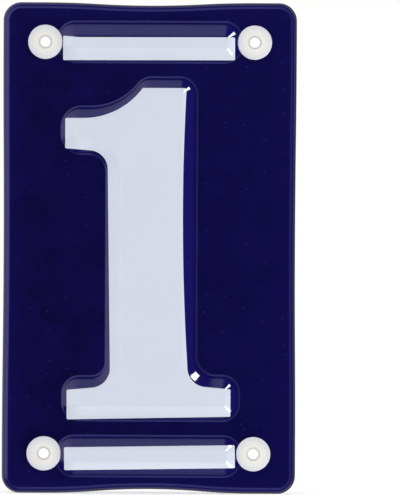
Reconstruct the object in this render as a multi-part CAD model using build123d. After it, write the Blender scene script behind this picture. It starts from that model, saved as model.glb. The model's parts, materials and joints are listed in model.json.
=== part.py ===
"""Enamelled house number plaque: a pressed steel plate with a raised figure 1 between two raised bars.

The plate is drawn flat on the XY plane with its front towards +Z, and stood up at the end, so that
X runs right, Z runs up, the front looks along -Y and the back edge of the rim lies on the wall at Y = 0.
"""

import os
from math import radians, sqrt, tan

from build123d import *

# Plate, in millimetres and degrees: outline, sheet and turned rim
PLATE_WIDTH = 119.6
PLATE_HEIGHT = 200.0
PLATE_CORNER = 7.3
TOP_DRAWN_IN = 1.2
BOTTOM_DRAWN_IN = 1.7
SIDE_DRAWN_IN = 0.4
SHEET = 1.2
GROUND_HEIGHT = 4.5
RIM_INNER_BEND = 1.2

# Screw holes and their grommets
HOLE_FROM_SIDE = 17.1
HOLE_FROM_END = 16.15
FLANGE_DIAMETER = 14.0
FLANGE_EDGE = 1.0
FLANGE_RISE = 0.8
FLANGE_SHOULDER = 0.7
SCREW_BORE = 4.2
BORE_MOUTH = 0.7
SPIGOT_WALL = 1.1
SPIGOT_CLEARANCE = 0.2
SPIGOT_PROUD = 1.0
SPIGOT_LEAD = 0.4

# Relief: sloping walls between a wide bend at the foot and a tight one at the crest
RELIEF_HEIGHT = 3.0
WALL_ANGLE = 33.5
FOOT_BEND = 5.7
CREST_INNER_BEND = 0.2
CREST_CORNER = 1.4
RELIEF_DROP = 0.4

# Bars, with their height at the crest and the flat ground left around their foot
BAR_HEIGHT = 5.1
BAR_TO_RIM = 2.75
BAR_TO_FLANGE = 0.05
BAR_TO_FIGURE = 5.0

# Figure 1, at the crest
FIGURE_SHIFT = 0.83
STEM_WIDTH = 25.75
TOP_WIDTH = 13.65
SERIF_WIDTH = 60.8
SERIF_LEFT_HEIGHT = 6.75
SERIF_RIGHT_HEIGHT = 7.15
SERIF_LEFT_CORNER = 11.5
SERIF_RIGHT_CORNER = 13.7
FLAG_REACH = 18.2
FLAG_DROP = 12.0
FLAG_HEIGHT = 8.05
FLAG_SWEEP = 30.0
FLAG_INNER_CORNER = 13.0

# White enamel on the figure: how far it spills past the crest on each side, its tapers and its slant
COAT = 0.15
CROWN_SPILL = 1.3
CROWN_RIGHT_SPILL = 1.25
FLAG_TOP_SPILL = 0.95
FLAG_LEFT_SPILL = 4.2
FLAG_ROOT_SPILL = 4.7
FLAG_ROOT_LEFT_SPILL = 5.2
FLAG_TAPER = 4.5
STEM_LEFT_SPILL = 3.85
STEM_RIGHT_SPILL = 2.55
SERIF_TOP_SPILL = 1.65
SERIF_LEFT_SPILL = 3.85
SERIF_RIGHT_SPILL = 2.1
SERIF_BOTTOM_SPILL = 4.6
SERIF_TAPER = 5.2
SERIF_SLANT = 1.15
SWEEP_LEAD = 3.25
SWEEP_END_SHORTFALL = 2.95
COAT_INNER_CORNER = 7.8

# White enamel on the bars: plain strips that lie low on the relief and not quite level
BAR_SPILL = 4.25
BAR_COAT_FROM_END = 0.55
TOP_BAR_COAT_DROP = 2.75
TOP_BAR_COAT_SLANT = 0.15
BOTTOM_BAR_COAT_DROP = 0.7
BOTTOM_BAR_COAT_SLANT = 0.9

# Widths of the walls and bends in plan
half_wall = tan(radians(WALL_ANGLE / 2))
wall_run = RELIEF_HEIGHT / tan(radians(WALL_ANGLE))
foot_run = wall_run + FOOT_BEND * half_wall
rim_bend = RIM_INNER_BEND + SHEET
crest_bend = CREST_INNER_BEND + SHEET

# Places of the holes and bars
hole_x = PLATE_WIDTH / 2 - HOLE_FROM_SIDE
hole_y = PLATE_HEIGHT / 2 - HOLE_FROM_END
bar_half_foot = BAR_HEIGHT / 2 + foot_run
bar_y = PLATE_HEIGHT / 2 - max(TOP_DRAWN_IN, BOTTOM_DRAWN_IN) - rim_bend - BAR_TO_RIM - bar_half_foot
bar_foot_end = hole_x - FLANGE_DIAMETER / 2 - BAR_TO_FLANGE

# Sides and levels of the figure's crest
figure_half_height = bar_y - bar_half_foot - BAR_TO_FIGURE - foot_run
figure_top = figure_half_height - RELIEF_DROP
figure_bottom = -figure_half_height - RELIEF_DROP
stem_left = FIGURE_SHIFT - STEM_WIDTH / 2
stem_right = FIGURE_SHIFT + STEM_WIDTH / 2
serif_left = FIGURE_SHIFT - SERIF_WIDTH / 2
serif_right = FIGURE_SHIFT + SERIF_WIDTH / 2
serif_left_top = figure_bottom + SERIF_LEFT_HEIGHT
serif_right_top = figure_bottom + SERIF_RIGHT_HEIGHT
flag_left = stem_left - FLAG_REACH
flag_top = figure_top - FLAG_DROP
flag_bottom = flag_top - FLAG_HEIGHT
sweep_end = stem_right - TOP_WIDTH
sweep_start = sweep_end - sqrt(FLAG_SWEEP**2 - (FLAG_SWEEP - FLAG_DROP) ** 2)


def round_corners(face, radius, points):
    """The face with its corners at these points rounded to one radius."""
    corners = [face.vertices().sort_by_distance((x, y, 0))[0] for x, y in points]
    return fillet(corners, radius)


def drawn_in_side(half_length, level, half_span, depth, turn):
    """One side of the plate, drawn in between its two screw holes by a shallow double curve."""
    left_end, right_end = (-half_span, level), (half_span, level)
    left_turn, right_turn = (-half_span / 2, level - depth / 2), (half_span / 2, level - depth / 2)
    side = (
        Line((-half_length, level), left_end)
        + TangentArc(left_end, left_turn, tangent=(1, 0))
        + ThreePointArc(left_turn, (0, level - depth), right_turn)
        + TangentArc(right_end, right_turn, tangent=(-1, 0))
        + Line(right_end, (half_length, level))
    )
    return Rot(0, 0, turn) * side


def plate_outline():
    """A rounded rectangle whose four sides are drawn in a little."""
    half_width, half_height = PLATE_WIDTH / 2, PLATE_HEIGHT / 2
    sides = (
        drawn_in_side(half_width, half_height, hole_x, TOP_DRAWN_IN, 0)
        + drawn_in_side(half_height, half_width, hole_y, SIDE_DRAWN_IN, 90)
        + drawn_in_side(half_width, half_height, hole_x, BOTTOM_DRAWN_IN, 180)
        + drawn_in_side(half_height, half_width, hole_y, SIDE_DRAWN_IN, 270)
    )
    corners = [(x, y) for x in (-half_width, half_width) for y in (-half_height, half_height)]
    return round_corners(make_face(sides), PLATE_CORNER, corners)


def bar_outline(y, spread):
    """Outline of one bar, spread past its crest. Its foot ends just short of the grommets beside it."""
    length, height = 2 * (bar_foot_end - foot_run + spread), BAR_HEIGHT + 2 * spread
    return Pos(0, y - RELIEF_DROP) * RectangleRounded(length, height, CREST_CORNER + spread)


def figure_outline(spread):
    """Outline of the figure, spread past its crest: a stem, a sweeping flag and a slab serif."""
    top, bottom = figure_top + spread, figure_bottom - spread
    left, right = stem_left - spread, stem_right + spread
    foot_left, foot_left_top = serif_left - spread, serif_left_top + spread
    foot_right, foot_right_top = serif_right + spread, serif_right_top + spread
    tip, tip_top, tip_bottom = flag_left - spread, flag_top + spread, flag_bottom - spread
    sweep = FLAG_SWEEP - spread
    sweep_foot = (sweep_start, tip_top)
    sweep_crown = (sweep_start + sqrt(sweep**2 - (sweep - FLAG_DROP) ** 2), top)

    right_root, left_root, flag_root = (right, foot_right_top), (left, foot_left_top), (left, tip_bottom)
    right_end = [(foot_right, foot_right_top), (foot_right, bottom)]
    left_end = [(foot_left, bottom), (foot_left, foot_left_top)]
    flag = [(tip, tip_bottom), (tip, tip_top)]
    crown = (right, top)
    outline = TangentArc(sweep_foot, sweep_crown, tangent=(1, 0)) + Polyline(
        sweep_crown, crown, right_root, *right_end, *left_end, left_root, flag_root, *flag, sweep_foot
    )
    face = round_corners(make_face(outline), SERIF_RIGHT_CORNER - spread, [right_root])
    face = round_corners(face, SERIF_LEFT_CORNER - spread, [left_root])
    face = round_corners(face, FLAG_INNER_CORNER - spread, [flag_root])
    return round_corners(face, CREST_CORNER + spread, [sweep_crown, crown] + right_end + left_end + flag)


def flat_levels(form):
    """Flat faces of a pressed form, grouped by height: its back, its ground and its crests."""
    return form.faces().filter_by(Axis.Z).group_by(Axis.Z)


def pressed_form(depth):
    """The space behind the plate's front surface moved back by this depth along its normals.

    Depth 0 gives the front, the sheet's thickness gives the hollow behind it, and a depth below 0
    gives the outside of a coat. Each bend keeps its centre, so its radius changes by the depth.
    """
    ground = GROUND_HEIGHT - depth
    form = extrude(offset(plate_outline(), -depth), ground)
    spread = wall_run - depth * half_wall
    for base in (bar_outline(bar_y, spread), figure_outline(spread), bar_outline(-bar_y, spread)):
        block = extrude(base, RELIEF_HEIGHT)
        walls = block.faces().filter_by(Axis.Z, reverse=True)
        form += Pos(0, 0, ground) * draft(walls, Plane.XY, 90 - WALL_ANGLE)
    form = form.fillet(rim_bend - depth, flat_levels(form)[1][0].outer_wire().edges())
    feet = flat_levels(form)[1][0].inner_wires()
    form = form.fillet(FOOT_BEND + depth, [edge for foot in feet for edge in foot.edges()])
    return form.fillet(crest_bend - depth, flat_levels(form)[2].edges())


def bar_coat(y, drop, slant):
    """Field of white on one bar."""
    length = 2 * (bar_foot_end - BAR_COAT_FROM_END)
    return Pos(0, y - RELIEF_DROP - drop) * Rot(0, 0, slant) * Rectangle(length, BAR_HEIGHT + BAR_SPILL)


def figure_coat():
    """Field of white on the figure: a waisted stem, a tapered flag, tapered serifs and a slanting foot."""
    crown = figure_top + CROWN_SPILL
    crown_left = (sweep_end - SWEEP_END_SHORTFALL, crown)
    crown_right = (stem_right + CROWN_RIGHT_SPILL, crown)
    flag_edge = flag_left - FLAG_LEFT_SPILL
    flag_crown = (sweep_start - SWEEP_LEAD, flag_top + FLAG_TOP_SPILL)
    flag_root = (stem_left - FLAG_ROOT_LEFT_SPILL, flag_bottom - FLAG_ROOT_SPILL)
    flag_tip = (flag_edge, flag_root[1] + (flag_root[0] - flag_edge) * tan(radians(FLAG_TAPER)))

    left, right = serif_left - SERIF_LEFT_SPILL, serif_right + SERIF_RIGHT_SPILL
    left_root = (stem_left - STEM_LEFT_SPILL, serif_left_top + SERIF_TOP_SPILL)
    right_root = (stem_right + STEM_RIGHT_SPILL, serif_right_top + SERIF_TOP_SPILL)
    taper, rise = tan(radians(SERIF_TAPER)), tan(radians(SERIF_SLANT))
    bottom = figure_bottom - SERIF_BOTTOM_SPILL
    waist = (stem_right, (crown + right_root[1]) / 2)
    outline = (
        TangentArc(flag_crown, crown_left, tangent=(1, 0))
        + Line(crown_left, crown_right)
        + ThreePointArc(crown_right, waist, right_root)
        + Polyline(
            right_root,
            (right, right_root[1] - (right - right_root[0]) * taper),
            (right, bottom + rise * right),
            (left, bottom + rise * left),
            (left, left_root[1] - (left_root[0] - left) * taper),
            left_root,
            flag_root,
            flag_tip,
            (flag_edge, flag_crown[1]),
            flag_crown,
        )
    )
    return round_corners(make_face(outline), COAT_INNER_CORNER, [right_root, left_root, flag_root])


def grommet():
    """Turned washer with a domed flange that seats on the plate and a spigot that centres it in the hole."""
    flange, spigot, bore = FLANGE_DIAMETER / 2, SCREW_BORE / 2 + SPIGOT_WALL, SCREW_BORE / 2
    foot, crown = -SHEET - SPIGOT_PROUD, FLANGE_EDGE + FLANGE_RISE
    shoulder = (flange, FLANGE_EDGE)
    outline = Polyline((0, crown), (0, foot), (spigot, foot), (spigot, 0), (flange, 0), shoulder)
    dome = TangentArc((0, crown), shoulder, tangent=(1, 0))
    section = make_face(outline + dome) - Rectangle(2 * bore, 2 * (crown - foot))
    section = round_corners(section, FLANGE_SHOULDER, [shoulder])
    section = round_corners(section, BORE_MOUTH, [(bore, crown)])
    section = chamfer(section.vertices().sort_by_distance((spigot, foot, 0))[0], SPIGOT_LEAD)
    return revolve(Plane.XZ * section, Axis.Z)


def pieces():
    """Every piece of the plaque by name, still lying on its back."""
    front = pressed_form(0)
    hole = Cylinder(SCREW_BORE / 2 + SPIGOT_WALL + SPIGOT_CLEARANCE, 2 * GROUND_HEIGHT)
    holes = GridLocations(2 * hole_x, 2 * hole_y, 2, 2) * hole
    made = {"plate": front - pressed_form(SHEET) - holes}

    skin = pressed_form(-COAT) - front
    fields = {
        "figure_coat": figure_coat(),
        "top_bar_coat": bar_coat(bar_y, TOP_BAR_COAT_DROP, TOP_BAR_COAT_SLANT),
        "bottom_bar_coat": bar_coat(-bar_y, BOTTOM_BAR_COAT_DROP, BOTTOM_BAR_COAT_SLANT),
    }
    for name, field in fields.items():
        made[name] = skin & extrude(field, GROUND_HEIGHT + RELIEF_HEIGHT + COAT)

    for row, y in (("top", hole_y), ("bottom", -hole_y)):
        for side, x in (("left", -hole_x), ("right", hole_x)):
            made[f"grommet_{row}_{side}"] = Pos(x, y, GROUND_HEIGHT) * grommet()
    return made


os.makedirs("parts", exist_ok=True)
for name, piece in pieces().items():
    export_step(Rot(90, 0, 0) * piece, f"parts/{name}.step")
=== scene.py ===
"""The enamelled house number plaque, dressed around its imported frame.

Pieces are worked out in millimetres on the plaque's plan, with x to the right, z up and h out of the
wall towards the viewer. Their meshes are in metres, with h along -Y.
"""

import json
from math import ceil, cos, hypot, pi, radians, sin, sqrt, tan

import bpy
import numpy as np
from mathutils import Matrix, Quaternion, Vector
from mathutils.geometry import delaunay_2d_cdt


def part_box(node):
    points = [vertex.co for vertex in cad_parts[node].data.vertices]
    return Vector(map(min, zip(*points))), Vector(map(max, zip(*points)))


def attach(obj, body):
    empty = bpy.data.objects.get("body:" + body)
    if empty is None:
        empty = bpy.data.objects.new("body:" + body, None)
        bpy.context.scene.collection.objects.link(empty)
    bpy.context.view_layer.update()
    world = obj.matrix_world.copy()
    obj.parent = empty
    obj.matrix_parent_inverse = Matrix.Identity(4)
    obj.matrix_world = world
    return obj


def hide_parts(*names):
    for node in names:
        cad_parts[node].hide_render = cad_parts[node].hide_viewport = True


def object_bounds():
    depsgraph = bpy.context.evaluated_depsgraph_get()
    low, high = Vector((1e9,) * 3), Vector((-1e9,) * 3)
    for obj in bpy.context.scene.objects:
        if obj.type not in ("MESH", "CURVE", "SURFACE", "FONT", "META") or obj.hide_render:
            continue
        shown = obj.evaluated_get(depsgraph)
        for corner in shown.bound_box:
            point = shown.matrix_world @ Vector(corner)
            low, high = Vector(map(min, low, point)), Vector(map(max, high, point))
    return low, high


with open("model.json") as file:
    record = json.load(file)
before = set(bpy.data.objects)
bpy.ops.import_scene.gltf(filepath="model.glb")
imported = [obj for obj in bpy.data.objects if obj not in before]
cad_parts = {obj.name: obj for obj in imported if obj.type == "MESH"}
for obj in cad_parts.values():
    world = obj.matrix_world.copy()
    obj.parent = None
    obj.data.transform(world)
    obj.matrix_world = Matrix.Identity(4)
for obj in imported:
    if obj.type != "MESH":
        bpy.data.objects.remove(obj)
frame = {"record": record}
cad_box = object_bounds()

# Sizes read from the frame, in millimetres
MM = 1000.0
mounts = {mount["name"]: mount for mount in frame["record"]["mounts"]}
holes = mounts["screw_holes"]
plate_low, plate_high = (np.array(corner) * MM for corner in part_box("plate"))
half_width, half_height = plate_high[0], plate_high[2]
crest_level = -plate_low[1]
ground_level = -holes["pos_m"][1] * MM
hole_x = holes["dims"]["spacing_x_mm"] / 2
hole_z = holes["dims"]["spacing_y_mm"] / 2
bore_radius = holes["dims"]["hole_r_mm"]

# Plate: sheet, turned rim and sides drawn in between the screw holes
SHEET = 1.2
PLATE_CORNER = 7.3
RIM_SHOULDER = 6.7
RIM_SLOPE = 12.0
RIM_BEND = 1.5
TOP_DRAWN_IN = 1.2
BOTTOM_DRAWN_IN = 1.7
SIDE_DRAWN_IN = 0.4
EDGE_ROUND = 0.4
HOLE_RADIUS = 3.4
HOLE_ROUND = 0.25
EDGE_MARGIN = 14.0

# Pressed relief: sloping walls between a wide bend at the foot and a tight one at the crest
WALL_ANGLE = 33.5
FOOT_BEND = 5.7
CREST_BEND = 1.4
CREST_CORNER = 1.4
relief_height = crest_level - ground_level
crest_setback = CREST_BEND * tan(radians(WALL_ANGLE / 2))
foot_run = relief_height / tan(radians(WALL_ANGLE)) + FOOT_BEND * tan(radians(WALL_ANGLE / 2))

# Bars and figure, at the crest
BAR_LEVEL = 84.35
BAR_DROP = 0.48
BAR_HEIGHT = 5.25
BAR_LENGTH = 64.0
BAR_CORNER = 1.7
STEM = (-11.9, 13.7)
SERIF = (-29.57, 31.23)
SERIF_TOPS = (-57.96, -57.56)
SERIF_INNER_CORNERS = (11.5, 13.7)
FIGURE_TOP = 63.91
FIGURE_BOTTOM = -64.71
FLAG_LEFT = -30.25
FLAG_TOP = 51.91
FLAG_BOTTOM = 43.86
FLAG_CORNER = 2.6
FLAG_INNER_CORNER = 13.0
FLAG_SWEEP = 30.0
SWEEP_START = -23.95
SWEEP_END = 0.05

# White enamel: outline of the figure's field, strips of the bars, thickness and rounded edge
COAT = 0.15
COAT_CROWN = 65.21
COAT_CROWN_SPAN = (-2.9, 14.95)
COAT_WAIST = (13.7, 4.65)
COAT_LEFT_ROOT = (-15.76, -56.31)
COAT_RIGHT_ROOT = (16.25, -55.91)
COAT_SERIF = (-33.42, 33.33)
COAT_SERIF_TAPER = 5.2
COAT_BOTTOM = -69.31
COAT_SLANT = 1.15
COAT_FLAG_EDGE = -34.44
COAT_FLAG_CROWN = (-27.2, 52.86)
COAT_FLAG_ROOT = (-17.15, 39.16)
COAT_FLAG_TAPER = 4.5
COAT_INNER_CORNER = 7.8
COAT_CORNER = 0.5
BEAD_WIDTH = 0.22
STRIP_HEIGHT = 9.35
TOP_STRIP_LENGTH = 70.07
TOP_STRIP_PLACE = (-0.43, 81.2)
TOP_STRIP_SLANT = 0.15
TOP_STRIP_FLARE = (6.5, 0.6)
BOTTOM_STRIP_LENGTH = 69.57
BOTTOM_STRIP_PLACE = (0.44, -85.45)
BOTTOM_STRIP_SLANT = 0.9

# Nylon grommets, and the tones of their face by distance from the axis, with painted shade at the bore's
# mouth and towards the lip
FLANGE_RADIUS = 7.0
FLANGE_EDGE = 1.0
FLANGE_RISE = 0.8
FLANGE_SHOULDER = 0.7
BORE_MOUTH = 0.7
SPIGOT_RADIUS = 3.2
SPIGOT_FOOT = -2.2
SPIGOT_LEAD = 0.4
MOULD_EDGE = 0.15
TOOL_RING = 1.3
NYLON_SHADED_TONES = {2.3: "#BDBCB6", 3.1: "#EAE9E2", 4.4: "#E6E5DE", 6.4: "#D8D9E1"}

# Finishes: sizes of their patterns and depths of their bumps
CLOUD_SIZE = 13.0
GRAIN_SPACING = 8.0
PEEL_SIZE = 7.0
PEEL_DEPTH = 0.04
WHITE_CLOUD_SIZE = 20.0
MOTTLE_SIZE = 9.0
NYLON_GRAIN_SIZE = 1.2
NYLON_GRAIN_DEPTH = 0.03

# Slots of the plate's two enamels
FRONT, BACK = 0, 1

# Fineness of the meshes: longest steps along paths and the widest turn of one, in degrees; room that
# inner points leave at an edge; lengths that count as none
PATH_STEP = 2.0
COAT_STEP = 0.45
RING_STEP = 0.9
FILL_STEP = 5.0
GROMMET_STEP = 0.5
GROMMET_SIDES = 128
BEAD_POINTS = 7
TURN_STEP = 5.0
RING_CLEAR = 0.1
FILL_CLEAR = 2.5
TINY = 1e-6
MERGE_DIGITS = 5


def unit(vector):
    """The vector at length 1."""
    return np.asarray(vector, float) / hypot(*vector)


def bend(centre, radius, normal_in, normal_out):
    """A bend of an outline: centre, radius and the directions, in degrees, that its normal turns between."""
    first = np.degrees(np.arctan2(normal_in[1], normal_in[0]))
    last = np.degrees(np.arctan2(normal_out[1], normal_out[0]))
    return (*centre, radius, first, first + (last - first + 180) % 360 - 180)


def corner(before, at, after, radius):
    """Bend that rounds a corner between two straight sides; where the path turns right it is hollow.

    Its centre lies one radius inside both sides, which are the lines normal . point = constant.
    """
    at = np.asarray(at, float)
    run_in, run_out = unit(at - before), unit(after - at)
    radius = np.copysign(radius, run_in[0] * run_out[1] - run_in[1] * run_out[0])
    normals = np.array([[run_in[1], -run_in[0]], [run_out[1], -run_out[0]]])
    return bend(np.linalg.solve(normals, normals @ at - radius), radius, *normals)


def corner_on_arc(at, side_normal, arc_centre, arc_radius, radius):
    """Centre of the bend between a straight side and a round one, and the normal where it meets the arc.

    The centre lies one radius inside the side, and as far from the arc's centre as the radii differ.
    """
    side_normal, arc_centre = np.asarray(side_normal, float), np.asarray(arc_centre, float)
    along = np.array([-side_normal[1], side_normal[0]])
    start = np.asarray(at, float) - radius * side_normal - arc_centre
    middle = along @ start
    reach = sqrt(middle**2 - start @ start + (arc_radius - radius) ** 2)
    slide = min(-middle - reach, -middle + reach, key=abs)
    offset = start + slide * along
    return arc_centre + offset, offset / (arc_radius - radius)


def circle_through(a, b, c):
    """Centre and radius of the circle through three points: equal distances give two linear equations."""
    a, b, c = (np.asarray(point, float) for point in (a, b, c))
    centre = np.linalg.solve(2 * np.array([b - a, c - a]), [b @ b - a @ a, c @ c - a @ a])
    return centre, hypot(*(a - centre))


def trace(bends, step=PATH_STEP, closed=True):
    """Points and outward normals along a path of bends joined by straight runs.

    On a bend the points are centre + radius * normal while the normal turns, so a hollow bend, whose
    centre lies outside, has a radius below zero. Straight runs are cut into equal steps.
    """
    points, normals = [], []
    for index, (x, y, radius, first, last) in enumerate(bends):
        swing = abs(last - first)
        count = 1 + max(1, ceil(swing / TURN_STEP), ceil(abs(radius) * radians(swing) / step))
        turn = np.radians(np.linspace(first, last, count))
        normal = np.stack([np.cos(turn), np.sin(turn)], 1)
        points.append([x, y] + radius * normal)
        normals.append(normal)
        if closed or index + 1 < len(bends):
            x, y, radius, first = bends[(index + 1) % len(bends)][:4]
            end = np.array([x, y]) + radius * np.array([cos(radians(first)), sin(radians(first))])
            run = end - points[-1][-1]
            share = np.linspace(0, 1, 1 + ceil(hypot(*run) / step))[1:-1, None]
            points.append(points[-1][-1] + share * run)
            normals.append(np.repeat(normal[-1:], len(share), 0))
    points, normals = np.concatenate(points), np.concatenate(normals)
    fresh = np.hypot(*(points - np.roll(points, 1, 0)).T) > TINY
    return points[fresh], normals[fresh]


def from_outline(points, bends):
    """Signed distance of plan points from an outline, below zero inside it, and the direction away from it.

    Each bend and each straight run gives a distance to the points that lie square to it; the nearest counts.
    """
    best = np.full(len(points), np.inf)
    away = np.zeros((len(points), 2))
    for index, (x, y, radius, first, last) in enumerate(bends):
        arm = points - [x, y]
        reach = np.hypot(*arm.T)
        normal = np.copysign(1, radius) * arm / np.maximum(reach, TINY)[:, None]
        turn = np.degrees(np.arctan2(normal[:, 1], normal[:, 0]))
        swing = (turn - (first + last) / 2 + 180) % 360 - 180
        gap = np.copysign(1, radius) * reach - radius
        nearer = (np.abs(swing) <= abs(last - first) / 2 + TINY) & (np.abs(gap) < np.abs(best))
        best, away = np.where(nearer, gap, best), np.where(nearer[:, None], normal, away)

        normal = np.array([cos(radians(last)), sin(radians(last))])
        start = np.array([x, y]) + radius * normal
        x, y, radius = bends[(index + 1) % len(bends)][:3]
        end = np.array([x, y]) + radius * normal
        along = np.array([-normal[1], normal[0]])
        place, length = (points - start) @ along, (end - start) @ along
        gap = (points - start) @ normal
        nearer = (place >= -TINY) & (place <= length + TINY) & (np.abs(gap) < np.abs(best))
        best, away = np.where(nearer, gap, best), np.where(nearer[:, None], normal, away)
    return best, away


def drawn_in_side(level, half_span, depth, turn):
    """Three bends that draw one side in: out, in and out again, each over a quarter of the span.

    A bend that falls by depth / 2 over half_span / 2 has the radius (run^2 + fall^2) / (2 * fall).
    """
    run, fall = half_span / 2, depth / 2
    radius = (run**2 + fall**2) / (2 * fall)
    lean = np.degrees(np.arcsin(run / radius))
    spin = np.array([[cos(radians(turn)), sin(radians(turn))], [-sin(radians(turn)), cos(radians(turn))]])
    rows = (
        (half_span, level - radius, radius, 90, 90 + lean),
        (0, level - depth + radius, -radius, 90 + lean, 90 - lean),
        (-half_span, level - radius, radius, 90 - lean, 90),
    )
    return [(*(np.array([x, y]) @ spin), size, first + turn, last + turn) for x, y, size, first, last in rows]


def plate_bends():
    """Outline of the plate, anticlockwise: four drawn-in sides between four round corners."""
    bends = []
    for turn, across, up, span, depth in (
        (0, half_width, half_height, hole_x, TOP_DRAWN_IN),
        (90, half_height, half_width, hole_z, SIDE_DRAWN_IN),
        (180, half_width, half_height, hole_x, BOTTOM_DRAWN_IN),
        (270, half_height, half_width, hole_z, SIDE_DRAWN_IN),
    ):
        bends += drawn_in_side(up, span, depth, turn)
        c, s = cos(radians(turn)), sin(radians(turn))
        x, y = PLATE_CORNER - across, up - PLATE_CORNER
        bends.append((x * c - y * s, x * s + y * c, PLATE_CORNER, 90 + turn, 180 + turn))
    return bends


def corner_bends(before, corners, after):
    """Bends of a run of straight sides between two end points; each corner comes with its radius."""
    points = [before, *corners, after]
    return [corner(*row) for row in zip(points, points[1:], points[2:], corners.values())]


def box_bends(centre, length, height, radius, slant=0.0, flare=None):
    """Outline of a strip with rounded corners, turned by its slant in degrees.

    A flare, of some run and rise, lifts the end of its top edge on the left.
    """
    x, y = length / 2, height / 2
    corners = [(x, y), (-x, y), (-x, -y), (x, -y)]
    if flare:
        corners[1:2] = [(flare[0] - x, y), (-x, y + flare[1])]
    c, s = cos(radians(slant)), sin(radians(slant))
    corners = [(centre[0] + x * c - y * s, centre[1] + x * s + y * c) for x, y in corners]
    return corner_bends(corners[-1], dict.fromkeys(corners, radius), corners[0])


def figure_bends():
    """Crest of the figure, anticlockwise from the end of its flag: stem, slab serif and the flag's sweep."""
    corners = {
        (FLAG_LEFT, FLAG_TOP): FLAG_CORNER,
        (FLAG_LEFT, FLAG_BOTTOM): FLAG_CORNER,
        (STEM[0], FLAG_BOTTOM): FLAG_INNER_CORNER,
        (STEM[0], SERIF_TOPS[0]): SERIF_INNER_CORNERS[0],
        (SERIF[0], SERIF_TOPS[0]): CREST_CORNER,
        (SERIF[0], FIGURE_BOTTOM): CREST_CORNER,
        (SERIF[1], FIGURE_BOTTOM): CREST_CORNER,
        (SERIF[1], SERIF_TOPS[1]): CREST_CORNER,
        (STEM[1], SERIF_TOPS[1]): SERIF_INNER_CORNERS[1],
        (STEM[1], FIGURE_TOP): CREST_CORNER,
    }
    sweep_start, sweep_end = (SWEEP_START, FLAG_TOP), (SWEEP_END, FIGURE_TOP)
    sweep_centre, up = (SWEEP_START, FLAG_TOP + FLAG_SWEEP), (0.0, 1.0)
    crown, meeting = corner_on_arc(sweep_end, up, sweep_centre, -FLAG_SWEEP, CREST_CORNER)
    return corner_bends(sweep_start, corners, sweep_end) + [
        bend(crown, CREST_CORNER, up, meeting),
        bend(sweep_centre, -FLAG_SWEEP, meeting, up),
    ]


def figure_coat_bends():
    """Field of white on the figure, anticlockwise from its flag: tapers, a slanting foot and a waisted stem.

    The flag's sweep rises by lift over its run, so its radius is (run^2 + lift^2) / (2 * lift).
    """
    rise, taper = tan(radians(COAT_SLANT)), tan(radians(COAT_SERIF_TAPER))
    left, right = COAT_SERIF
    flag_tip = COAT_FLAG_ROOT[1] + (COAT_FLAG_ROOT[0] - COAT_FLAG_EDGE) * tan(radians(COAT_FLAG_TAPER))
    corners = {
        (COAT_FLAG_EDGE, COAT_FLAG_CROWN[1]): COAT_CORNER,
        (COAT_FLAG_EDGE, flag_tip): COAT_CORNER,
        COAT_FLAG_ROOT: COAT_INNER_CORNER,
        COAT_LEFT_ROOT: COAT_INNER_CORNER,
        (left, COAT_LEFT_ROOT[1] - (COAT_LEFT_ROOT[0] - left) * taper): COAT_CORNER,
        (left, COAT_BOTTOM + rise * left): COAT_CORNER,
        (right, COAT_BOTTOM + rise * right): COAT_CORNER,
        (right, COAT_RIGHT_ROOT[1] - (right - COAT_RIGHT_ROOT[0]) * taper): COAT_CORNER,
    }
    up, slope = (0.0, 1.0), unit((taper, 1.0))
    crown_left, crown_right = ((x, COAT_CROWN) for x in COAT_CROWN_SPAN)
    waist_centre, waist = circle_through(COAT_RIGHT_ROOT, COAT_WAIST, crown_right)
    root, root_meeting = corner_on_arc(COAT_RIGHT_ROOT, slope, waist_centre, -waist, -COAT_INNER_CORNER)
    head, head_meeting = corner_on_arc(crown_right, up, waist_centre, -waist, COAT_CORNER)
    run, lift = crown_left[0] - COAT_FLAG_CROWN[0], COAT_CROWN - COAT_FLAG_CROWN[1]
    sweep = (run**2 + lift**2) / (2 * lift)
    sweep_centre = (COAT_FLAG_CROWN[0], COAT_FLAG_CROWN[1] + sweep)
    tip, tip_meeting = corner_on_arc(crown_left, up, sweep_centre, -sweep, COAT_CORNER)
    return corner_bends(COAT_FLAG_CROWN, corners, COAT_RIGHT_ROOT) + [
        bend(root, -COAT_INNER_CORNER, slope, root_meeting),
        bend(waist_centre, -waist, root_meeting, head_meeting),
        bend(head, COAT_CORNER, head_meeting, up),
        bend(tip, COAT_CORNER, up, tip_meeting),
        bend(sweep_centre, -sweep, tip_meeting, up),
    ]


bar_levels = (BAR_LEVEL - BAR_DROP, -BAR_LEVEL - BAR_DROP)
bar_crests = [box_bends((0, level), BAR_LENGTH, BAR_HEIGHT, BAR_CORNER) for level in bar_levels]
crests = [bar_crests[0], figure_bends(), bar_crests[1]]

# Sections as bends on distance from the crest and height: their normals turn from the front at 90 degrees
wall_bends = [
    (-crest_setback, crest_level - CREST_BEND, CREST_BEND, 90, 90 - WALL_ANGLE),
    (foot_run, ground_level + FOOT_BEND, -FOOT_BEND, 90 - WALL_ANGLE, 90),
]
lead = RIM_SHOULDER - RIM_BEND
shoulder = (-RIM_BEND - lead * sin(radians(RIM_SLOPE)), ground_level - RIM_SHOULDER)
turned = (-RIM_BEND, shoulder[1] + lead * cos(radians(RIM_SLOPE)))
rim_bends = [
    (*shoulder, RIM_SHOULDER, 90, 90 - RIM_SLOPE),
    (*turned, RIM_BEND, 90 - RIM_SLOPE, 0),
    (-EDGE_ROUND, EDGE_ROUND, EDGE_ROUND, 0, -90),
    (EDGE_ROUND - SHEET, EDGE_ROUND, EDGE_ROUND, -90, -180),
    (*turned, SHEET - RIM_BEND, -180, -90 - RIM_SLOPE),
    (*shoulder, SHEET - RIM_SHOULDER, -90 - RIM_SLOPE, -90),
]
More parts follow.
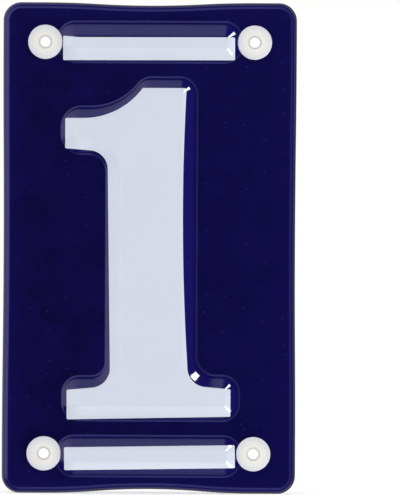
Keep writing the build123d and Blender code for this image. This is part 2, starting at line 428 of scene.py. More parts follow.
hole_bends = [
    (HOLE_ROUND, ground_level - SHEET + HOLE_ROUND, HOLE_ROUND, -90, -180),
    (HOLE_ROUND, ground_level - HOLE_ROUND, HOLE_ROUND, 180, 90),
]


def relief(points):
    """Height and normal of the pressed front at plan points, from their distance to the nearest crest.

    The section runs flat, then along the crest's bend, the straight wall and the foot's bend. On a bend
    the sine of the slope grows evenly with the distance.
    """
    crest_end = CREST_BEND * sin(radians(WALL_ANGLE)) - crest_setback
    foot_start = foot_run - FOOT_BEND * sin(radians(WALL_ANGLE))
    height = np.full(len(points), ground_level)
    normal = np.tile([0.0, 0.0, 1.0], (len(points), 1))
    for bends in crests:
        gap, away = from_outline(points, bends)
        crest_slope = np.clip((gap + crest_setback) / CREST_BEND, 0, 1)
        foot_slope = np.clip((foot_run - gap) / FOOT_BEND, 0, 1)
        slope = np.select(
            [gap < crest_end, gap < foot_start], [crest_slope, sin(radians(WALL_ANGLE))], foot_slope
        )
        flat = np.sqrt(1 - slope**2)
        level = np.select(
            [gap < crest_end, gap < foot_start],
            [crest_level - CREST_BEND * (1 - flat), crest_level - gap * tan(radians(WALL_ANGLE))],
            ground_level + FOOT_BEND * (1 - flat),
        )
        near = gap < foot_run
        height = np.where(near, level, height)
        lean = np.column_stack([slope[:, None] * away, flat])
        normal = np.where(near[:, None], lean, normal)
    return height, normal


class Shell:
    """Collects the patches of one closed piece: points and normals in millimetres, faces and their finish."""

    def __init__(self):
        self.points, self.normals, self.faces, self.finishes = [], [], [], []
        self.count = 0

    def add(self, points, normals, faces, finish=0):
        """One patch, whose faces count its own points; the finish is one for all faces or one for each."""
        self.points.append(points.reshape(-1, 3))
        self.normals.append(normals.reshape(-1, 3))
        self.faces.append(np.asarray(faces) + self.count)
        self.finishes.append(np.broadcast_to(finish, len(faces)))
        self.count += len(self.points[-1])

    def piece(self, name, materials, **marks):
        """The piece as an object at the origin, with points that coincide merged and its own normals.

        Each mark gives every point that was added a value, which the piece's materials read by its name.
        """
        points, normals = np.concatenate(self.points), np.concatenate(self.normals)
        rounded = np.round(points, MERGE_DIGITS)
        _, kept, merged = np.unique(rounded, axis=0, return_index=True, return_inverse=True)
        axes = np.array([[1, 0, 0], [0, 0, 1], [0, -1, 0]])
        corners = merged.ravel()[np.concatenate([faces.ravel() for faces in self.faces])]
        sides = np.concatenate([np.full(len(faces), faces.shape[1]) for faces in self.faces])
        mesh = bpy.data.meshes.new(name)
        mesh.vertices.add(len(kept))
        mesh.vertices.foreach_set("co", (points[kept] @ axes / MM).astype(np.float32).ravel())
        mesh.loops.add(len(corners))
        mesh.loops.foreach_set("vertex_index", corners.astype(np.int32))
        mesh.polygons.add(len(sides))
        mesh.polygons.foreach_set("loop_start", (np.cumsum(sides) - sides).astype(np.int32))
        mesh.polygons.foreach_set("material_index", np.concatenate(self.finishes).astype(np.int32))
        mesh.update(calc_edges=True)
        mesh.shade_smooth()
        mesh.normals_split_custom_set_from_vertices((normals[kept] @ axes).tolist())
        for label, values in marks.items():
            attribute = mesh.attributes.new(label, "FLOAT", "POINT")
            attribute.data.foreach_set("value", values[kept].astype(np.float32))
        for material in materials:
            mesh.materials.append(material)
        made = bpy.data.objects.new(name, mesh)
        bpy.context.scene.collection.objects.link(made)
        return made


def ring_faces(rows, columns, closed_rows=False):
    """Quads of a grid whose columns close into a ring, with rows that may close as well."""
    count = rows if closed_rows else rows - 1
    row, column = np.meshgrid(np.arange(count), np.arange(columns), indexing="ij")
    here, after, beside = row * columns, (row + 1) % rows * columns, (column + 1) % columns
    return np.stack([here + column, after + column, after + beside, here + beside], -1).reshape(-1, 4)


def band(path, section):
    """A section carried along a closed path: plan = path + distance * normal, at the section's height."""
    (points, normals), (profile, facing) = path, section
    plan = points[None] + profile[:, :1, None] * normals[None]
    height = np.broadcast_to(profile[:, 1:, None], plan.shape[:2] + (1,))
    side = facing[:, :1, None] * normals[None]
    front = np.broadcast_to(facing[:, 1:, None], plan.shape[:2] + (1,))
    return np.concatenate([plan, height], 2), np.concatenate([side, front], 2)


def loop_sides(loops):
    """Pairs of neighbouring points round closed loops that follow one another in one list of points."""
    ends = np.cumsum([len(loop) for loop in loops])
    rows = [np.arange(end - len(loop), end) for loop, end in zip(loops, ends)]
    return np.concatenate([np.column_stack([row, np.roll(row, -1)]) for row in rows])


def triangles_within(plan, sides):
    """Triangles that join plan points within their outermost sides, with every side as an edge."""
    inside_only = 1
    _, _, found, origin, _, _ = delaunay_2d_cdt(plan.tolist(), sides.tolist(), [], inside_only, TINY)
    return np.array(next(zip(*origin)))[np.array(found)]


def fill(loops, front):
    """Flat face inside the first loop and outside the others, as triangles that look to the front or back.

    They join the loops' points and a grid between them, with every other row shifted by half a step. A
    triangle counts as inside where a line from its middle to the right crosses the loops an odd number
    of times.
    """
    rim, level = np.concatenate(loops)[:, :2], loops[0][0, 2]
    low, high = rim.min(0), rim.max(0)
    row, column = np.mgrid[0 : (high[1] - low[1]) / FILL_STEP, 0 : (high[0] - low[0]) / FILL_STEP]
    grid = low + FILL_STEP * np.stack([column + row % 2 / 2, row], -1).reshape(-1, 2)
    clear = np.min(np.hypot(*(grid[:, None] - rim[None]).transpose(2, 0, 1)), 1) > FILL_CLEAR
    plan, sides = np.concatenate([rim, grid[clear]]), loop_sides(loops)
    triangles = triangles_within(plan, sides)

    start, end = rim[sides[:, 0]], rim[sides[:, 1]]
    run, rise = (end - start).T
    middle = plan[triangles].mean(1)[:, None]
    spans = (start[:, 1] > middle[..., 1]) != (end[:, 1] > middle[..., 1])
    meets = start[:, 0] + (middle[..., 1] - start[:, 1]) * run / np.where(rise == 0, 1, rise)
    inside = np.sum(spans & (meets > middle[..., 0]), 1) % 2 == 1
    used, triangles = np.unique(triangles[inside], return_inverse=True)
    triangles = triangles.reshape(-1, 3)
    points = np.column_stack([plan[used], np.full(len(used), level)])
    normals = np.tile([0, 0, 1.0 if front else -1.0], (len(used), 1))
    return points, normals, triangles if front else triangles[:, ::-1]


def plate(front_enamel, back_enamel):
    """The pressed sheet as one closed shell: rim, reliefs, ground and holes, in front and behind.

    Behind, every bend keeps its centre and its radius is less by the sheet's thickness. Its enamels read
    the slope, which is the sine of the normal's angle from the front, and the slope of the rim alone.
    """
    shell = Shell()
    section = trace(rim_bends, closed=False)
    points, normals = band(trace(plate_bends()), section)
    faces = ring_faces(*points.shape[:2])
    inside = np.arange(len(faces)) // points.shape[1] >= np.argmin(section[1][:, 1])
    shell.add(points, normals, faces, np.where(inside, BACK, FRONT))
    rim_points = shell.count
    front_loops, back_loops = [points[0]], [points[-1]]

    behind = [(x, h, radius - SHEET, first, last) for x, h, radius, first, last in wall_bends]
    for bends in crests:
        path = trace(bends)
        points, normals = band(path, trace(wall_bends, closed=False))
        faces = ring_faces(*points.shape[:2])
        shell.add(points, normals, faces, FRONT)
        shell.add(*fill([points[0]], True), FRONT)
        front_loops.append(points[-1])
        points, normals = band(path, trace(behind, closed=False))
        shell.add(points, -normals, faces[:, ::-1], BACK)
        shell.add(*fill([points[0]], False), BACK)
        back_loops.append(points[-1])

    for x in (-hole_x, hole_x):
        for z in (-hole_z, hole_z):
            circle = [(x, z, HOLE_RADIUS, 0, 180), (x, z, HOLE_RADIUS, 180, 360)]
            points, normals = band(trace(circle), trace(hole_bends, closed=False))
            shell.add(points, normals, ring_faces(*points.shape[:2]), FRONT)
            front_loops.append(points[-1])
            back_loops.append(points[0])
    shell.add(*fill(front_loops, True), FRONT)
    shell.add(*fill(back_loops, False), BACK)
    slope = np.hypot(*np.concatenate(shell.normals)[:, :2].T)
    rim = np.where(np.arange(shell.count) < rim_points, slope, 0.0)
    return shell.piece("plate_enamelled", [front_enamel, back_enamel], slope=slope, rim=rim)


def coat(name, bends, enamel):
    """A skin of white enamel fused over the relief, with a rounded edge that runs out to nothing.

    Each point lies on the pressed front, raised along its normal by the thickness. At the edge the
    thickness is a quarter of an ellipse: inset = width * (1 - cos a), raise = thickness * sin a.
    """
    edge, away = trace(bends, COAT_STEP)
    turn = np.radians(np.linspace(0, 90, BEAD_POINTS))
    inset, lift = BEAD_WIDTH * (1 - np.cos(turn)), COAT * np.sin(turn)
    loops = edge[None] - inset[:, None, None] * away[None]
    wall = trace(wall_bends, closed=False)
    rings = np.concatenate([band(trace(crest, RING_STEP), wall)[0].reshape(-1, 3) for crest in crests])[:, :2]
    rings = rings[from_outline(rings, bends)[0] < -BEAD_WIDTH - RING_CLEAR]
    inner = np.concatenate([loops[-1], rings])
    triangles = triangles_within(inner, loop_sides([edge]))

    def raised(plan, thickness):
        height, normal = relief(plan)
        return np.column_stack([plan, height]) + thickness[:, None] * normal, normal

    shell = Shell()
    plan, thickness = loops.reshape(-1, 2), np.repeat(lift, len(edge))
    points, normals = raised(plan, thickness)
    outward = np.column_stack([np.tile(away, (len(lift), 1)), np.zeros(len(plan))])
    outward -= np.sum(outward * normals, 1)[:, None] * normals
    outward /= np.linalg.norm(outward, axis=1)[:, None]
    shares = (COAT * np.cos(turn), BEAD_WIDTH * np.sin(turn))
    across, square = (np.repeat(share, len(edge))[:, None] for share in shares)
    lean = square * normals + across * outward
    lean /= np.linalg.norm(lean, axis=1)[:, None]
    shell.add(points, lean, ring_faces(len(lift), len(edge))[:, ::-1])
    points, normals = raised(inner, np.full(len(inner), COAT))
    shell.add(points, normals, triangles)
    plan = np.concatenate([edge, inner])
    points, normals = raised(plan, np.zeros(len(plan)))
    shell.add(points, -normals, ring_faces(2, len(edge)))
    shell.add(points[len(edge) :], -normals[len(edge) :], triangles[:, ::-1])
    return shell.piece(name, [enamel])


def grommet(name, x, z, nylon):
    """Moulded washer: a closed section of distance and height, turned once round the hole's axis.

    Its domed face rises by the rise over the flange's radius, so the dome's radius is
    (radius^2 + rise^2) / (2 * rise). The nylon reads each point's distance from the axis.
    """
    crown = FLANGE_EDGE + FLANGE_RISE
    dome = (FLANGE_RADIUS**2 + FLANGE_RISE**2) / (2 * FLANGE_RISE)
    dome_centre, lip = (0.0, crown - dome), (FLANGE_RADIUS, FLANGE_EDGE)
    shoulder, shoulder_meeting = corner_on_arc(lip, (1, 0), dome_centre, dome, FLANGE_SHOULDER)
    mouth, mouth_meeting = corner_on_arc((bore_radius, crown), (-1, 0), dome_centre, dome, BORE_MOUTH)
    corners = {
        (bore_radius, SPIGOT_FOOT): MOULD_EDGE,
        (SPIGOT_RADIUS, SPIGOT_FOOT): SPIGOT_LEAD,
        (SPIGOT_RADIUS, 0): MOULD_EDGE,
        (FLANGE_RADIUS, 0): MOULD_EDGE,
    }
    bends = corner_bends((bore_radius, 0), corners, lip) + [
        bend(shoulder, FLANGE_SHOULDER, (1, 0), shoulder_meeting),
        bend(dome_centre, dome, shoulder_meeting, mouth_meeting),
        bend(mouth, BORE_MOUTH, mouth_meeting, (-1, 0)),
    ]
    profile, facing = trace(bends, GROMMET_STEP)
    turn = np.linspace(0, 2 * pi, GROMMET_SIDES, endpoint=False)
    wheel = np.stack([np.cos(turn), np.sin(turn)], 1)
    axis = np.broadcast_to([x, z], wheel.shape)
    points, normals = band((axis, wheel), (profile + [0, ground_level], facing))
    shell = Shell()
    shell.add(points, normals, ring_faces(*points.shape[:2], closed_rows=True)[:, ::-1])
    return shell.piece(name, [nylon], radius=np.repeat(profile[:, 0], GROMMET_SIDES))


def linear(code):
    """An sRGB hex colour as linear light, by the sRGB curve."""
    share = np.array([int(code[i : i + 2], 16) for i in (1, 3, 5)]) / 255
    light = np.where(share <= 0.04045, share / 12.92, ((share + 0.055) / 1.055) ** 2.4)
    return (*light.tolist(), 1.0)


# A Mix node's sockets for colours, which share their names with others
COLOUR_A, COLOUR_B, COLOUR_OUT = 6, 7, 2
WHITE = (1.0, 1.0, 1.0, 1.0)


def add_node(tree, kind, inputs=None, **settings):
    """A node of this kind with its settings; each input is a value, or a socket that is linked to it."""
    made = tree.nodes.new(kind)
    for name, value in settings.items():
        setattr(made, name, value)
    for name, value in (inputs or {}).items():
        if isinstance(value, bpy.types.NodeSocket):
            tree.links.new(value, made.inputs[name])
        else:
            made.inputs[name].default_value = value
    return made


def new_material(name):
    """An empty node material and its tree."""
    made = bpy.data.materials.new(name)
    made.use_nodes = True
    made.node_tree.nodes.clear()
    return made, made.node_tree


def per_size(millimetres):
    """Scale of a texture on Object coordinates, in metres, for a pattern of this size."""
    return MM / millimetres


def orange_peel(tree, place):
    """Normal of an enamelled face, which firing leaves with faint ripples."""
    ripples = add_node(
        tree, "ShaderNodeTexNoise", {"Vector": place, "Scale": per_size(PEEL_SIZE), "Detail": 2.0}
    ).outputs["Fac"]
    return add_node(
        tree, "ShaderNodeBump", {"Height": ripples, "Strength": 0.5, "Distance": PEEL_DEPTH / MM}
    ).outputs["Normal"]


def cobalt_enamel():
    """Cobalt blue vitreous enamel, sprayed and fired: a deep glassy blue with clouds and pale grains.

    The blue is lighter towards the plate's edges and painted lighter to the right, as painted light from the
    right-hand softboxes. On the slopes it is painted lighter still, as painted light on the walls. Over the
    turned rim it is dull and thin, and the grey ground coat shows through, painted paler on the left as
    painted light on the left-hand rim.
    """
    made, tree = new_material("cobalt_vitreous_enamel")
    place = add_node(tree, "ShaderNodeTexCoord").outputs["Object"]
    slope = add_node(tree, "ShaderNodeAttribute", attribute_name="slope").outputs["Fac"]
    rim = add_node(tree, "ShaderNodeAttribute", attribute_name="rim").outputs["Fac"]
    along = add_node(tree, "ShaderNodeSeparateXYZ", {"Vector": place}).outputs
    # Share from left to right: it paints the blue lighter to the right as painted light from the right-hand
    # softboxes
    rightward = add_node(
        tree,
        "ShaderNodeMapRange",
        {"Value": along["X"], "From Min": -half_width / MM, "From Max": half_width / MM},
    ).outputs["Result"]
    # The blue grows lighter towards the plate's edges
    margins = []
    for axis, reach in (("X", half_width / MM), ("Z", half_height / MM)):
        out = add_node(tree, "ShaderNodeMath", {0: along[axis]}, operation="ABSOLUTE").outputs["Value"]
        edge_ramp = add_node(
            tree,
            "ShaderNodeMapRange",
            {"Value": out, "From Min": reach - EDGE_MARGIN / MM, "From Max": reach},
            interpolation_type="SMOOTHSTEP",
        )
        margins.append(edge_ramp.outputs["Result"])
    margin = add_node(
        tree, "ShaderNodeMath", {0: margins[0], 1: margins[1]}, operation="MAXIMUM"
    ).outputs["Value"]
    noise = add_node(
        tree,
        "ShaderNodeTexNoise",
        {"Vector": place, "Scale": per_size(CLOUD_SIZE), "Detail": 5.0, "Roughness": 0.7},
    ).outputs["Fac"]
    clouds = add_node(
        tree, "ShaderNodeMapRange", {"Value": noise, "From Min": 0.36, "From Max": 0.68, "To Max": 0.85}
    ).outputs["Result"]
    # Painted light on the walls: the blue is painted lighter where the slope is steeper
    slope_light = add_node(
        tree, "ShaderNodeMapRange", {"Value": slope, "From Min": 0.05, "From Max": 0.5}
    ).outputs["Result"]
    facing = add_node(
        tree, "ShaderNodeMapping", {"Vector": place, "Rotation": (radians(90), 0, 0)}
    ).outputs["Vector"]
    cells = add_node(
        tree,
        "ShaderNodeTexVoronoi",
        {"Vector": facing, "Scale": per_size(GRAIN_SPACING)},
        voronoi_dimensions="2D",
    ).outputs
    draw = add_node(tree, "ShaderNodeSeparateColor", {"Color": cells["Color"]}).outputs["Red"]
    chosen = add_node(tree, "ShaderNodeMath", {0: draw, 1: 0.72}, operation="GREATER_THAN").outputs["Value"]
    spots = add_node(
        tree,
        "ShaderNodeMapRange",
        {"Value": cells["Distance"], "From Min": 0.07, "From Max": 0.02, "To Max": 0.5},
    ).outputs["Result"]
    grains = add_node(tree, "ShaderNodeMath", {0: spots, 1: chosen}, operation="MULTIPLY").outputs["Value"]
    bare = add_node(
        tree, "ShaderNodeMapRange", {"Value": rim, "From Min": 0.5, "From Max": 0.85}
    ).outputs["Result"]
    # Grey ground coat at the rim, painted paler on the left as painted light on the left-hand rim
    ground_coat_lit_left = add_node(
        tree,
        "ShaderNodeMix",
        {"Factor": rightward, COLOUR_A: linear("#302F42"), COLOUR_B: linear("#100F19")},
        data_type="RGBA",
    ).outputs[COLOUR_OUT]
    colour = linear("#0C0936")
    # Laid over the base blue: painted light to the right, lighter towards the edges, clouds, painted light on
    # the slopes, pale grains, and the ground coat at the rim
    for share, over in (
        (rightward, linear("#0E0B43")),
        (margin, linear("#120D4A")),
        (clouds, linear("#130E4D")),
        (slope_light, linear("#17125E")),
        (grains, linear("#2C2A78")),
        (bare, ground_coat_lit_left),
    ):
        colour = add_node(
            tree, "ShaderNodeMix", {"Factor": share, COLOUR_A: colour, COLOUR_B: over}, data_type="RGBA"
        ).outputs[COLOUR_OUT]
    dull = add_node(
        tree,
        "ShaderNodeMapRange",
        {"Value": rim, "From Min": 0.15, "From Max": 0.5, "To Min": 0.07, "To Max": 0.6},
    ).outputs["Result"]
    shader = add_node(
        tree,
        "ShaderNodeBsdfPrincipled",
        {"Base Color": colour, "Roughness": dull, "IOR": 1.6, "Normal": orange_peel(tree, place)},
    )
    add_node(tree, "ShaderNodeOutputMaterial", {"Surface": shader.outputs["BSDF"]})
    return made


def white_enamel():
    """White vitreous enamel, laid over the blue and fired: an opaque, cool white glass, faintly clouded."""
    made, tree = new_material("white_vitreous_enamel")
    place = add_node(tree, "ShaderNodeTexCoord").outputs["Object"]
    clouds = add_node(
        tree, "ShaderNodeTexNoise", {"Vector": place, "Scale": per_size(WHITE_CLOUD_SIZE), "Detail": 4.0}
    ).outputs["Fac"]
    colour = add_node(
        tree,
        "ShaderNodeMix",
        {"Factor": clouds, COLOUR_A: linear("#D0D6E4"), COLOUR_B: linear("#D6DCE8")},
        data_type="RGBA",
    ).outputs[COLOUR_OUT]
    shader = add_node(
        tree,
        "ShaderNodeBsdfPrincipled",
        {"Base Color": colour, "Roughness": 0.1, "IOR": 1.6, "Normal": orange_peel(tree, place)},
    )
    add_node(tree, "ShaderNodeOutputMaterial", {"Surface": shader.outputs["BSDF"]})
    return made


def white_nylon():
    """White nylon as it comes from the mould: satin, faintly warm on its face and cooler round its lip.

    Painted shade greys the mouth of the bore and darkens the domed face towards its lip, which is painted
    cooler as painted shade, and faint tool rings show on the face, all by distance from the axis. The
    mould's grain is drawn coarser than the real one, so that it shows.
    """
    made, tree = new_material("moulded_white_nylon")
    place = add_node(tree, "ShaderNodeTexCoord").outputs["Object"]
    radius = add_node(tree, "ShaderNodeAttribute", attribute_name="radius").outputs["Fac"]
    outward = add_node(
        tree, "ShaderNodeMapRange", {"Value": radius, "From Min": bore_radius, "From Max": FLANGE_RADIUS}
    ).outputs["Result"]
    # Painted shade by distance from the axis: grey at the bore's mouth, dimmer and cooler towards the lip
    shaded_face = add_node(tree, "ShaderNodeValToRGB", {"Fac": outward})
    stops = shaded_face.color_ramp.elements
    for index, (at, code) in enumerate(NYLON_SHADED_TONES.items()):
        stop = stops[index] if index < len(stops) else stops.new(1.0)
        stop.position = (at - bore_radius) / (FLANGE_RADIUS - bore_radius)
        stop.color = linear(code)
    turn = add_node(
        tree, "ShaderNodeMath", {0: radius, 1: 2 * pi / TOOL_RING}, operation="MULTIPLY"
    ).outputs["Value"]
    wave = add_node(tree, "ShaderNodeMath", {0: turn}, operation="SINE").outputs["Value"]
    rings = add_node(
        tree, "ShaderNodeMapRange", {"Value": wave, "From Min": 0.2, "From Max": 1.0, "To Max": 0.12}
    ).outputs["Result"]
    colour = add_node(
        tree,
        "ShaderNodeMix",
        {"Factor": rings, COLOUR_A: shaded_face.outputs["Color"], COLOUR_B: linear("#C4C4BE")},
        data_type="RGBA",
    ).outputs[COLOUR_OUT]
    grain = add_node(
        tree, "ShaderNodeTexNoise", {"Vector": place, "Scale": per_size(NYLON_GRAIN_SIZE), "Detail": 3.0}
    ).outputs["Fac"]
    bump = add_node(
        tree, "ShaderNodeBump", {"Height": grain, "Strength": 0.3, "Distance": NYLON_GRAIN_DEPTH / MM}
    ).outputs["Normal"]
    shader = add_node(
        tree,
        "ShaderNodeBsdfPrincipled",
        {"Base Color": colour, "Roughness": 0.35, "IOR": 1.53, "Normal": bump},
    )
    add_node(tree, "ShaderNodeOutputMaterial", {"Surface": shader.outputs["BSDF"]})
    return made


def ground_enamel():
    """Ground coat on the back: thin, blue-black enamel, duller than the front and mottled by the firing."""
    made, tree = new_material("ground_coat_enamel")
    place = add_node(tree, "ShaderNodeTexCoord").outputs["Object"]
    mottle = add_node(
        tree,
        "ShaderNodeTexNoise",
        {"Vector": place, "Scale": per_size(MOTTLE_SIZE), "Detail": 6.0, "Roughness": 0.7},
    ).outputs["Fac"]
    colour = add_node(
        tree,
        "ShaderNodeMix",
        {"Factor": mottle, COLOUR_A: linear("#0D0D15"), COLOUR_B: linear("#1E1E2B")},
        data_type="RGBA",
    ).outputs[COLOUR_OUT]
    shader = add_node(
        tree, "ShaderNodeBsdfPrincipled", {"Base Color": colour, "Roughness": 0.3, "IOR": 1.5}
    )
    add_node(tree, "ShaderNodeOutputMaterial", {"Surface": shader.outputs["BSDF"]})
    return made


def pale_floor():
    """Matt white floor: a faint glow for the camera makes it white, apart from the object's soft shadow."""
    made, tree = new_material("pale_floor")
    seen = add_node(tree, "ShaderNodeLightPath").outputs["Is Camera Ray"]
    strength = add_node(
        tree, "ShaderNodeMath", {0: seen, 1: FLOOR_GLOW}, operation="MULTIPLY"
    ).outputs["Value"]
    lit = add_node(tree, "ShaderNodeBsdfDiffuse", {"Color": linear("#E8E8E8")}).outputs["BSDF"]
    glow = add_node(tree, "ShaderNodeEmission", {"Color": WHITE, "Strength": strength}).outputs["Emission"]
    both = add_node(tree, "ShaderNodeAddShader", {0: lit, 1: glow}).outputs["Shader"]
    add_node(tree, "ShaderNodeOutputMaterial", {"Surface": both})
    return made


def dress(piece, node):
    """The piece rides on the plaque in place of a CAD node."""
    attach(piece, "root")
    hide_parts(node)


blue, white, nylon, back = cobalt_enamel(), white_enamel(), white_nylon(), ground_enamel()
dress(plate(blue, back), "plate")
strip = (STRIP_HEIGHT, COAT_CORNER)
coat_fields = {
    "figure_coat": figure_coat_bends(),
    "top_bar_coat": box_bends(TOP_STRIP_PLACE, TOP_STRIP_LENGTH, *strip, TOP_STRIP_SLANT, TOP_STRIP_FLARE),
    "bottom_bar_coat": box_bends(BOTTOM_STRIP_PLACE, BOTTOM_STRIP_LENGTH, *strip, BOTTOM_STRIP_SLANT),
}
for name, bends in coat_fields.items():
    dress(coat(name + "_fired", bends, white), name)
for row, z in (("top", hole_z), ("bottom", -hole_z)):
    for hand, x in (("left", -hole_x), ("right", hole_x)):
        name = f"grommet_{row}_{hand}"
        dress(grommet(name + "_moulded", x, z, nylon), name)

# Camera: square to the plaque, which sits left of the middle and is turned a little. The lens takes in
# the photo's height, its longer side, with the sensor's width
PHOTO_HEIGHT = 495
MM_PER_PIXEL = 0.40787
CAMERA_DISTANCE = 6.0
FRAME_CENTRE = (20.68, 0.29)
ROLL = 0.25

camera = bpy.data.objects.new("camera", bpy.data.cameras.new("camera"))
bpy.context.scene.collection.objects.link(camera)
camera.data.lens = camera.data.sensor_width * CAMERA_DISTANCE / (PHOTO_HEIGHT * MM_PER_PIXEL / MM)
camera.location = (FRAME_CENTRE[0] / MM, -CAMERA_DISTANCE, FRAME_CENTRE[1] / MM)
camera.rotation_mode = "QUATERNION"
camera.rotation_quaternion = Quaternion((1, 0, 0), radians(90)) @ Quaternion((0, 0, 1), radians(ROLL))
bpy.context.scene.camera = camera

# Floor that the plaque stands on, kept out of its reflections and its light
FLOOR_SIZE = 6.0
FLOOR_GLOW = 0.19

reach, bottom = FLOOR_SIZE / 2, cad_box[0][2]
floor_corners = [
    (-reach, -reach, bottom),
    (reach, -reach, bottom),
    (reach, reach, bottom),
    (-reach, reach, bottom),
]
floor_mesh = bpy.data.meshes.new("floor")
floor_mesh.from_pydata(floor_corners, [], [(0, 1, 2, 3)])
floor_mesh.materials.append(pale_floor())
floor = bpy.data.objects.new("floor", floor_mesh)
bpy.context.scene.collection.objects.link(floor)
floor.visible_glossy = False
floor.visible_diffuse = False
floor.visible_shadow = False

# Two softboxes on the right: their angle off the camera's axis, their distance and size in metres, and
# their angles round the axis. The radiance of an area lamp is its power / (4 * area)
SOFTBOX_OFF_AXIS = 67
SOFTBOX_DISTANCE = 0.8
SOFTBOX_SIZE = (0.125, 0.16)
SOFTBOX_RADIANCE = 18.0
SOFTBOXES = {"upper_right_softbox": 40, "lower_right_softbox": -45}

for name, angle in SOFTBOXES.items():
    lamp = bpy.data.lights.new(name, "AREA")
    lamp.shape = "RECTANGLE"
    lamp.size, lamp.size_y = SOFTBOX_SIZE
    lamp.energy = 4 * SOFTBOX_RADIANCE * lamp.size * lamp.size_y
    softbox = bpy.data.objects.new(name, lamp)
    bpy.context.scene.collection.objects.link(softbox)
    polar, azimuth = radians(SOFTBOX_OFF_AXIS), radians(angle)
    aim = Vector((sin(polar) * cos(azimuth), -cos(polar), sin(polar) * sin(azimuth)))
    outward = Vector((cos(polar) * cos(azimuth), sin(polar), cos(polar) * sin(azimuth)))
    around = Vector((-sin(azimuth), 0, cos(azimuth)))
    softbox.location = SOFTBOX_DISTANCE * aim
    softbox.rotation_mode = "QUATERNION"
    softbox.rotation_quaternion = Matrix((outward, around, aim)).transposed().to_quaternion()
    softbox.visible_camera = False

# World: a dark studio for the enamel to mirror, by the angle off the camera's axis and the side it lies on
world = bpy.data.worlds.new("studio")
world.use_nodes = True
bpy.context.scene.world = world
tree = world.node_tree
tree.nodes.clear()
ray = add_node(tree, "ShaderNodeLightPath").outputs
way = add_node(tree, "ShaderNodeTexCoord").outputs["Generated"]
along = add_node(tree, "ShaderNodeSeparateXYZ", {"Vector": way}).outputs
ahead = add_node(tree, "ShaderNodeMath", {0: along["Y"], 1: -1.0}, operation="MULTIPLY").outputs["Value"]
off_axis = add_node(tree, "ShaderNodeMath", {0: ahead}, operation="ARCCOSINE").outputs["Value"]
across = add_node(tree, "ShaderNodeCombineXYZ", {"X": along["X"], "Z": along["Z"]}).outputs["Vector"]
heading = add_node(tree, "ShaderNodeVectorMath", {0: across}, operation="NORMALIZE").outputs["Vector"]
side = add_node(tree, "ShaderNodeSeparateXYZ", {"Vector": heading}).outputs

# Angles off the axis between which the lights come and go, the screens' lean to the left and downwards,
# and the heading of the gap at the lower left
RING = np.radians([2, 6, 14, 22]).tolist()
SCREENS = np.radians([26, 40, 88, 96]).tolist()
FILL = np.radians([25, 70, 84, 94, 104, 130]).tolist()
SCREEN_LEAN = np.radians([16, 4]).tolist()
GAP_HEADING = radians(230)

leftward = add_node(
    tree, "ShaderNodeMath", {0: side["X"], 1: -SCREEN_LEAN[0], 2: off_axis}, operation="MULTIPLY_ADD"
).outputs["Value"]
leaned = add_node(
    tree, "ShaderNodeMath", {0: side["Z"], 1: -SCREEN_LEAN[1], 2: leftward}, operation="MULTIPLY_ADD"
).outputs["Value"]
gap = add_node(
    tree,
    "ShaderNodeVectorMath",
    {0: heading, 1: (cos(GAP_HEADING), 0, sin(GAP_HEADING))},
    operation="DOT_PRODUCT",
).outputs["Value"]

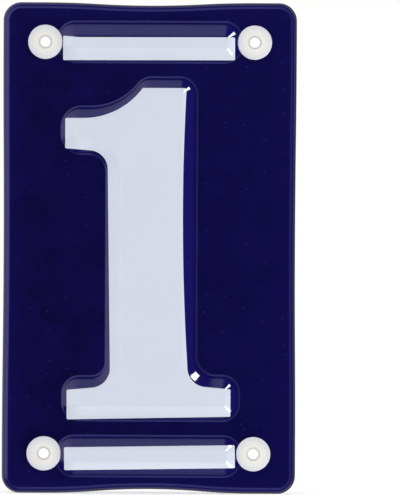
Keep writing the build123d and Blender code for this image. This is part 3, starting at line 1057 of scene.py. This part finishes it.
# Each light is the product of its shares, and a share eases from its first value to its last while what
# it reads goes from start to end. A faint blue ring lies about the axis and pale screens further out, to
# the left, above and below, both with a gap at the lower left. A white backdrop is behind the plaque. Soft
# fill for the colours is stronger from below, dips beside the plate and comes back behind it. What the
# left side mirrors is tinted lilac
SHARES = {
    "ring_start": (off_axis, *RING[:2], 0.0, 1.0),
    "ring_end": (off_axis, *RING[2:], 1.0, 0.0),
    "ring_level": (side["X"], -1.0, 1.0, 2.2, 0.65),
    "ring_gap": (gap, 0.75, 0.97, 1.0, 0.25),
    "ring_share": (ray["Is Glossy Ray"], 0.0, 1.0, 0.0, 1.0),
    "screen_start": (leaned, *SCREENS[:2], 0.0, 1.0),
    "screen_end": (off_axis, *SCREENS[2:], 1.0, 0.0),
    "screen_side": (side["X"], 0.0, 0.32, 1.0, 0.0),
    "screen_gap": (gap, 0.7, 0.88, 1.0, 0.0),
    "screen_level": (side["X"], -1.0, 0.0, 1.2, 0.6),
    "backdrop_start": (off_axis, *SCREENS[2:], 0.0, 1.0),
    "backdrop_side": (side["X"], -1.0, 1.0, 2.2, 0.2),
    "backdrop_level": (ray["Is Glossy Ray"], 0.0, 1.0, 0.45, 1.0),
    "fill_start": (off_axis, *FILL[:2], 0.13, 1.18),
    "fill_dip": (off_axis, *FILL[2:4], 1.0, 0.25),
    "fill_back": (off_axis, *FILL[4:], 1.0, 4.0),
    "fill_height": (along["Z"], -1.0, 1.0, 1.45, 0.6),
    "fill_side": (along["X"], -1.0, 1.0, 0.85, 1.25),
    "fill_share": (ray["Is Diffuse Ray"], 0.0, 1.0, 0.0, 1.0),
    "tint_side": (side["X"], -1.0, 0.0, 1.0, 0.0),
    "tint_share": (ray["Is Glossy Ray"], 0.0, 1.0, 0.0, 1.0),
}
lights = {}
for name, (value, start, end, first, last) in SHARES.items():
    inputs = {"Value": value, "From Min": start, "From Max": end, "To Min": first, "To Max": last}
    share = add_node(tree, "ShaderNodeMapRange", inputs, interpolation_type="SMOOTHSTEP").outputs["Result"]
    light = name.split("_")[0]
    if light in lights:
        both = {0: lights[light], 1: share}
        share = add_node(tree, "ShaderNodeMath", both, operation="MULTIPLY").outputs["Value"]
    lights[light] = share
strength = lights["screen"]
for light in ("backdrop", "fill"):
    both = {0: strength, 1: lights[light]}
    strength = add_node(tree, "ShaderNodeMath", both, operation="ADD").outputs["Value"]
lilac = add_node(
    tree,
    "ShaderNodeMix",
    {"Factor": lights["tint"], COLOUR_A: WHITE, COLOUR_B: linear("#F4E6FF")},
    data_type="RGBA",
).outputs[COLOUR_OUT]
sides = add_node(tree, "ShaderNodeBackground", {"Color": lilac, "Strength": strength})
ring = add_node(tree, "ShaderNodeBackground", {"Color": linear("#A4A2FF"), "Strength": lights["ring"]})
studio = add_node(
    tree, "ShaderNodeAddShader", {0: sides.outputs["Background"], 1: ring.outputs["Background"]}
)
paper = add_node(tree, "ShaderNodeBackground", {"Color": WHITE, "Strength": 1.0})
seen = add_node(
    tree,
    "ShaderNodeMixShader",
    {0: ray["Is Camera Ray"], 1: studio.outputs["Shader"], 2: paper.outputs["Background"]},
)
add_node(tree, "ShaderNodeOutputWorld", {"Surface": seen.outputs["Shader"]})

bpy.context.scene.view_settings.view_transform = "Standard"
